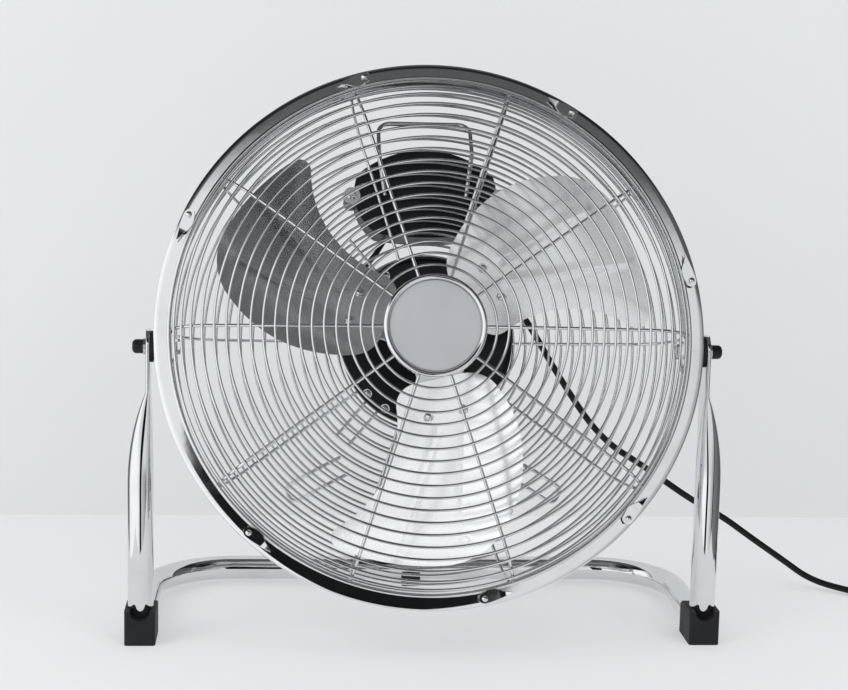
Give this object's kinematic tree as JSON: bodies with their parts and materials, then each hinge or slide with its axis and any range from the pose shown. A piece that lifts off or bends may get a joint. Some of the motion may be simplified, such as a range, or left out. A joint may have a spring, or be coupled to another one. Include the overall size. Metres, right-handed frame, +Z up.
{
  "type": "floor fan",
  "caption": "Chrome floor fan: a wire-caged fan head with pressed metal blades that tilts between the flattened ends of a bent tube stand, with a mains cord.",
  "frame": {"origin": "on the floor under the middle of the fan's bounding box, measured without the cord, its coil and plug", "axes": "+Z up, the fan's front towards -Y, +X along the width of the stand"},
  "size_m": [0.9022, 0.33, 0.5618],
  "materials": {
    "chrome": "bright chrome plate",
    "blade_aluminium": "bright rolled aluminium sheet",
    "black_paint": "satin black enamel",
    "black_plastic": "fine moulded black",
    "rubber": "matt black",
    "cord_rubber": "matt black cord sheath",
    "steel": "zinc plated",
    "iron": "laminated iron",
    "brass": "bare metal"
  },
  "bodies": {
    "stand": {"stand_tube": "chrome", "front_foot_left": "rubber", "front_foot_right": "rubber", "rear_pad": "rubber", "friction_washer_left": "rubber", "friction_washer_right": "rubber", "pivot_washer_left": "chrome", "pivot_washer_right": "chrome", "cord_run": "cord_rubber", "cord_coil": "cord_rubber", "cord_tie": "cord_rubber", "plug_body": "cord_rubber", "plug_pins": "brass"},
    "head": {"rim_band": "chrome", "front_grille": "chrome", "rear_grille": "chrome", "carry_handle": "chrome", "cord_hook_left": "chrome", "cord_hook_right": "chrome", "badge_trim": "chrome", "latch_rivets": "chrome", "badge_disc": "blade_aluminium", "motor_plate": "black_paint", "motor_front_cover": "black_paint", "motor_rear_cover": "black_paint", "control_box": "black_plastic", "control_cover": "black_plastic", "bolt_cap_left": "black_plastic", "bolt_cap_right": "black_plastic", "rotary_switch": "black_plastic", "cord_gland": "rubber", "motor_lead": "cord_rubber", "pivot_bolt_left": "steel", "pivot_bolt_right": "steel", "pivot_bracket_left": "steel", "pivot_bracket_right": "steel", "front_bearing": "steel", "rear_bearing": "steel", "plate_screws": "steel", "box_screws": "steel", "box_washers": "steel", "stator": "iron"},
    "rotor": {"motor_shaft": "steel", "rotor_core": "iron", "hub_spider": "black_paint", "hub_nut": "steel", "blade_1": "blade_aluminium", "blade_2": "blade_aluminium", "blade_3": "blade_aluminium", "blade_rivets": "steel"},
    "speed_knob": {"speed_knob": "black_plastic"},
    "latch_1": {"latch_1": "chrome"},
    "latch_2": {"latch_2": "chrome"},
    "latch_3": {"latch_3": "chrome"},
    "latch_4": {"latch_4": "chrome"},
    "latch_5": {"latch_5": "chrome"},
    "latch_6": {"latch_6": "chrome"},
    "latch_7": {"latch_7": "chrome"}
  },
  "joints": [
    {"name": "head_tilt", "type": "hinge", "parent": "stand", "child": "head", "pos_m": [0, -0.05904, 0.292], "axis": [-1, 0, 0], "range_deg": [-37, 73], "deforming": ["cord_run"]},
    {"name": "rotor_spin", "type": "hinge", "parent": "head", "child": "rotor", "pos_m": [0, -0.05495, 0.30539], "axis": [0, 0.9563, -0.2924], "continuous": true},
    {"name": "speed_knob_turn", "type": "hinge", "parent": "head", "child": "speed_knob", "pos_m": [0, 0.09469, 0.41859], "axis": [0, 0.9563, -0.2924], "range_deg": [0, 135]},
    {"name": "latch_1_swivel", "type": "hinge", "parent": "head", "child": "latch_1", "pos_m": [0.25206, -0.05963, 0.36189], "axis": [0, 0.9563, -0.2924], "range_deg": [0, 70]},
    {"name": "latch_2_swivel", "type": "hinge", "parent": "head", "child": "latch_2", "pos_m": [0.13722, -0.01132, 0.5199], "axis": [0, 0.9563, -0.2924], "range_deg": [0, 70]},
    {"name": "latch_3_swivel", "type": "hinge", "parent": "head", "child": "latch_3", "pos_m": [-0.06578, -0.00224, 0.54961], "axis": [0, 0.9563, -0.2924], "range_deg": [0, 70]},
    {"name": "latch_4_swivel", "type": "hinge", "parent": "head", "child": "latch_4", "pos_m": [-0.23261, -0.04274, 0.41715], "axis": [0, 0.9563, -0.2924], "range_deg": [0, 70]},
    {"name": "latch_5_swivel", "type": "hinge", "parent": "head", "child": "latch_5", "pos_m": [-0.17197, -0.13106, 0.12824], "axis": [0, 0.9563, -0.2924], "range_deg": [0, 70]},
    {"name": "latch_6_swivel", "type": "hinge", "parent": "head", "child": "latch_6", "pos_m": [0.04957, -0.14891, 0.06989], "axis": [0, 0.9563, -0.2924], "range_deg": [0, 70]},
    {"name": "latch_7_swivel", "type": "hinge", "parent": "head", "child": "latch_7", "pos_m": [0.18678, -0.12685, 0.14202], "axis": [0, 0.9563, -0.2924], "range_deg": [0, 70]}
  ]
}
